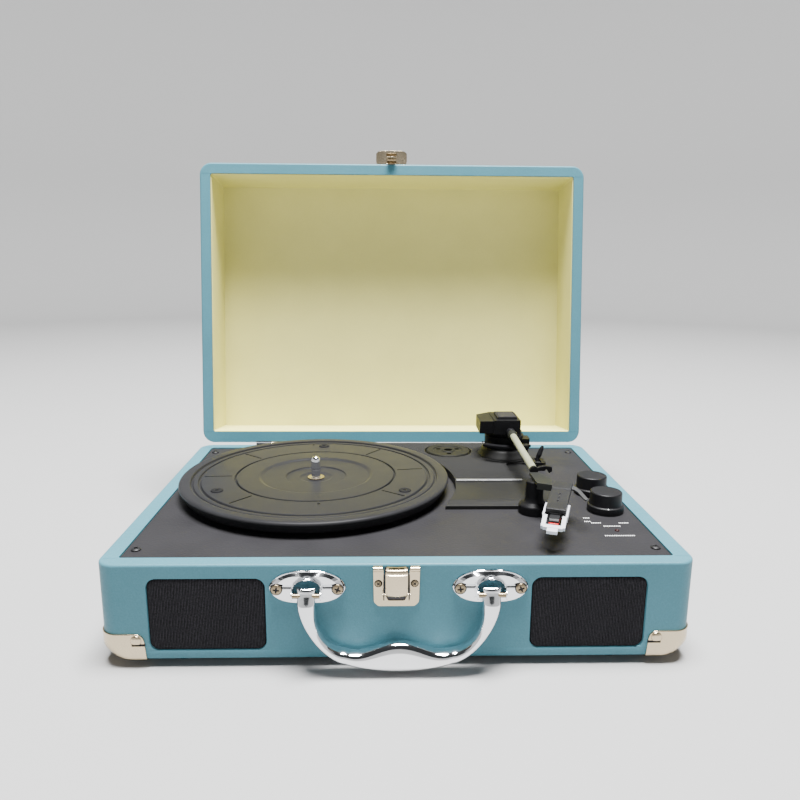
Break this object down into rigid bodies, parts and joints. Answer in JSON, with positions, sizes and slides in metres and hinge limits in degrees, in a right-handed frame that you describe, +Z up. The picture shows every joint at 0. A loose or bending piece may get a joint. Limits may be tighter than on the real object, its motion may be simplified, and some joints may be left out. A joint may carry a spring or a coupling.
{
  "type": "suitcase record player",
  "caption": "Portable suitcase record player with an open hinged lid, belt-driven platter, pivoted tonearm, knobs, latch and a swinging carrying handle.",
  "frame": {"origin": "on the floor, under the middle of the open player's bounding box", "axes": "+Z up, +X to the right seen from the front, -Y out of the front face"},
  "size_m": [0.3536, 0.3613, 0.3297],
  "materials": {
    "leatherette": "grained, satin",
    "lining": "matt paper lining",
    "black_plastic": "fine grain, satin",
    "gloss_black": "semi-gloss",
    "grey_plastic": "satin",
    "white_plastic": "semi-gloss",
    "red_plastic": "semi-gloss",
    "chrome": "polished",
    "nickel": "warm nickel plate",
    "brass": "turned",
    "tube_metal": "satin",
    "rubber": "matt",
    "cloth": "fine ribbed cloth",
    "steel": "stamped",
    "board": "circuit board",
    "lamp": "clear red"
  },
  "bodies": {
    "case": {"case_shell": "leatherette", "case_corners": "nickel", "feet": "rubber", "grille_left": "cloth", "grille_right": "cloth", "speaker_left": "steel", "speaker_right": "steel", "handle_plate_left": "chrome", "handle_plate_right": "chrome", "handle_pins": "nickel", "handle_screws": "nickel", "latch_plate": "nickel", "latch_pin": "nickel", "latch_screws": "nickel", "hinge_left": "nickel", "hinge_right": "nickel", "deck_plate": "black_plastic", "deck_screws": "black_plastic", "arm_panel": "black_plastic", "spindle": "chrome", "spindle_bush": "brass", "spindle_clip": "nickel", "motor": "steel", "drive_belt": "rubber", "circuit_board": "board", "pot_rear": "steel", "pot_front": "steel", "led": "lamp", "rear_panel": "black_plastic", "phono_sockets": "nickel", "headphone_socket": "grey_plastic", "power_inlet": "grey_plastic", "arm_base": "black_plastic", "arm_rest": "gloss_black", "cue_base": "black_plastic"},
    "platter": {"platter": "gloss_black", "platter_pads": "rubber"},
    "motor_shaft": {"motor_pulley": "brass"},
    "arm_swivel": {"arm_yoke": "black_plastic"},
    "tonearm": {"arm_head": "black_plastic", "arm_cap": "black_plastic", "arm_tube": "tube_metal", "arm_collar": "gloss_black", "arm_elbow": "grey_plastic", "headshell": "grey_plastic", "finger_lift": "grey_plastic", "cartridge": "gloss_black", "stylus": "red_plastic"},
    "stylus_guard": {"stylus_guard": "white_plastic"},
    "cue_lever": {"cue_lever": "black_plastic"},
    "cue_platform": {"cue_platform": "black_plastic"},
    "adapter": {"adapter": "grey_plastic"},
    "knob_rear": {"knob_rear": "black_plastic"},
    "knob_front": {"knob_front": "black_plastic"},
    "handle": {"handle": "chrome"},
    "latch_lever": {"latch_lever": "nickel"},
    "lid": {"lid_shell": "leatherette", "lid_lining": "lining", "lid_corners": "nickel", "lid_fittings": "nickel"}
  },
  "joints": [
    {"name": "lid_hinge", "type": "hinge", "parent": "case", "child": "lid", "pos_m": [0, 0.0874, 0.0655], "axis": [-1, 0, 0], "range_deg": [-98.6, 0]},
    {"name": "platter_spin", "type": "hinge", "parent": "case", "child": "platter", "pos_m": [-0.06, -0.031, 0.071], "axis": [0, 0, -1], "continuous": true},
    {"name": "motor_spin", "type": "hinge", "parent": "case", "child": "motor_shaft", "pos_m": [-0.115, 0.024, 0.055], "axis": [0, 0, -1], "continuous": true},
    {"name": "arm_swing", "type": "hinge", "parent": "case", "child": "arm_swivel", "pos_m": [0.095, 0.039, 0.085], "axis": [0, 0, -1], "range_deg": [0, 47]},
    {"name": "arm_lift", "type": "hinge", "parent": "arm_swivel", "child": "tonearm", "pos_m": [0.095, 0.039, 0.0975], "axis": [-1, 0, 0], "range_deg": [0, 10]},
    {"name": "guard_slide", "type": "slide", "parent": "tonearm", "child": "stylus_guard", "axis": [-0.336, -0.9409, -0.0419], "range_m": [0, 0.03]},
    {"name": "cue_hinge", "type": "hinge", "parent": "case", "child": "cue_lever", "pos_m": [0.12, 0.016, 0.068], "axis": [1, 0, 0], "range_deg": [0, 40]},
    {"name": "cue_rise", "type": "slide", "parent": "case", "child": "cue_platform", "axis": [0, 0, 1], "range_m": [0, 0.004]},
    {"name": "adapter_lift", "type": "slide", "parent": "case", "child": "adapter", "axis": [0, 0, 1], "range_m": [0, 0.05]},
    {"name": "rear_knob_turn", "type": "hinge", "parent": "case", "child": "knob_rear", "pos_m": [0.147, -0.0455, 0.071], "axis": [0, 0, -1], "range_deg": [0, 300]},
    {"name": "front_knob_turn", "type": "hinge", "parent": "case", "child": "knob_front", "pos_m": [0.1465, -0.0815, 0.071], "axis": [0, 0, -1], "range_deg": [0, 300]},
    {"name": "handle_hinge", "type": "hinge", "parent": "case", "child": "handle", "pos_m": [0, -0.176, 0.0495], "axis": [-1, 0, 0], "range_deg": [-3, 145]},
    {"name": "latch_hinge", "type": "hinge", "parent": "case", "child": "latch_lever", "pos_m": [-0.0015, -0.1722, 0.048], "axis": [1, 0, 0], "range_deg": [0, 12], "stiffness_Nm_per_rad": 0.02, "springref_deg": -11.46}
  ],
  "couplings": [
    {"joint": "motor_spin", "follows": "platter_spin", "ratio": 11.467},
    {"joint": "cue_hinge", "follows": "cue_rise", "rad_per_m": 174.5}
  ]
}
